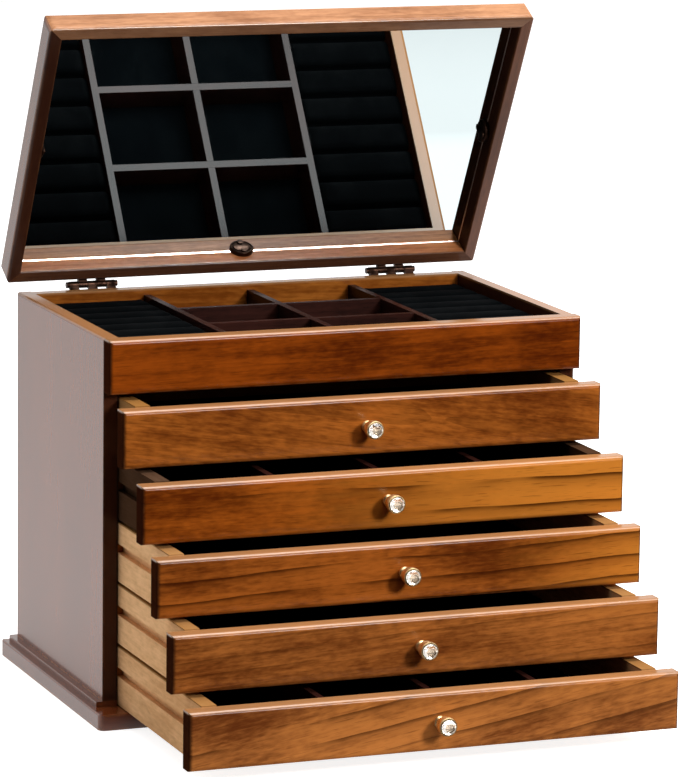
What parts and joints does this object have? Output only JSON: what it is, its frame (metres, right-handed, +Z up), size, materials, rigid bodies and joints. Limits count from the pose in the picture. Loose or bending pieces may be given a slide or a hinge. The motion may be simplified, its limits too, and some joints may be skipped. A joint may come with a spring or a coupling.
{
  "type": "jewelry case",
  "caption": "Wooden jewelry case with a hinged mirror lid over a divided velvet tray and a stack of pull-out drawers with crystal knobs",
  "frame": {"origin": "middle of the flat underside of the base board", "axes": "+Z up; -Y out of the front, the way the drawers pull out; +X to the right of someone facing the front"},
  "size_m": [0.316, 0.3613, 0.4098],
  "materials": {
    "walnut": "satin red-brown lacquer",
    "front_wood": "satin orange-brown lacquer",
    "divider_wood": "dark stain",
    "back_wood": "clear lacquer",
    "pale_wood": "clear lacquer",
    "velvet": "black velvet",
    "brass": "polished",
    "crystal": "cut and polished",
    "mirror": "silvered glass",
    "bronze": "dark bronze"
  },
  "bodies": {
    "case": {"base_board": "walnut", "side_panel_left": "walnut", "side_panel_right": "walnut", "back_panel": "back_wood", "tray_front": "walnut", "tray_floor": "pale_wood", "tray_lining": "velvet", "tray_long_dividers": "divider_wood", "tray_cross_dividers": "divider_wood", "ring_rolls": "velvet", "drawer_runners": "pale_wood", "hinge_case_leaves": "bronze", "hinge_pins": "bronze", "hinge_case_screws": "bronze"},
    "lid": {"lid_front_rail": "walnut", "lid_back_rail": "walnut", "lid_left_stile": "walnut", "lid_right_stile": "walnut", "lid_panel": "walnut", "lid_mirror": "mirror", "mirror_clips": "bronze", "hinge_lid_leaves": "bronze", "lid_screws": "bronze"},
    "drawer_1": {"drawer_1_front": "front_wood", "drawer_1_sides": "pale_wood", "drawer_1_back": "pale_wood", "drawer_1_bottom": "pale_wood", "drawer_1_lining": "velvet", "drawer_1_knob": "brass", "drawer_1_crystal": "crystal"},
    "drawer_2": {"drawer_2_front": "front_wood", "drawer_2_sides": "pale_wood", "drawer_2_back": "pale_wood", "drawer_2_bottom": "pale_wood", "drawer_2_lining": "velvet", "drawer_2_knob": "brass", "drawer_2_crystal": "crystal", "drawer_2_dividers": "divider_wood"},
    "drawer_3": {"drawer_3_front": "front_wood", "drawer_3_sides": "pale_wood", "drawer_3_back": "pale_wood", "drawer_3_bottom": "pale_wood", "drawer_3_lining": "velvet", "drawer_3_knob": "brass", "drawer_3_crystal": "crystal"},
    "drawer_4": {"drawer_4_front": "front_wood", "drawer_4_sides": "pale_wood", "drawer_4_back": "pale_wood", "drawer_4_bottom": "pale_wood", "drawer_4_lining": "velvet", "drawer_4_knob": "brass", "drawer_4_crystal": "crystal"},
    "drawer_5": {"drawer_5_front": "front_wood", "drawer_5_sides": "pale_wood", "drawer_5_back": "pale_wood", "drawer_5_bottom": "pale_wood", "drawer_5_lining": "velvet", "drawer_5_knob": "brass", "drawer_5_crystal": "crystal", "drawer_5_dividers": "divider_wood"}
  },
  "joints": [
    {"name": "lid_hinge", "type": "hinge", "parent": "case", "child": "lid", "pos_m": [0, 0.0959, 0.233], "axis": [-1, 0, 0], "range_deg": [-61.7, 38.3]},
    {"name": "drawer_1_slide", "type": "slide", "parent": "case", "child": "drawer_1", "axis": [0, -1, 0], "range_m": [-0.0287, 0.1213]},
    {"name": "drawer_2_slide", "type": "slide", "parent": "case", "child": "drawer_2", "axis": [0, -1, 0], "range_m": [-0.0637, 0.0863]},
    {"name": "drawer_3_slide", "type": "slide", "parent": "case", "child": "drawer_3", "axis": [0, -1, 0], "range_m": [-0.0902, 0.0598]},
    {"name": "drawer_4_slide", "type": "slide", "parent": "case", "child": "drawer_4", "axis": [0, -1, 0], "range_m": [-0.1177, 0.0323]},
    {"name": "drawer_5_slide", "type": "slide", "parent": "case", "child": "drawer_5", "axis": [0, -1, 0], "range_m": [-0.1472, 0.0028]}
  ]
}
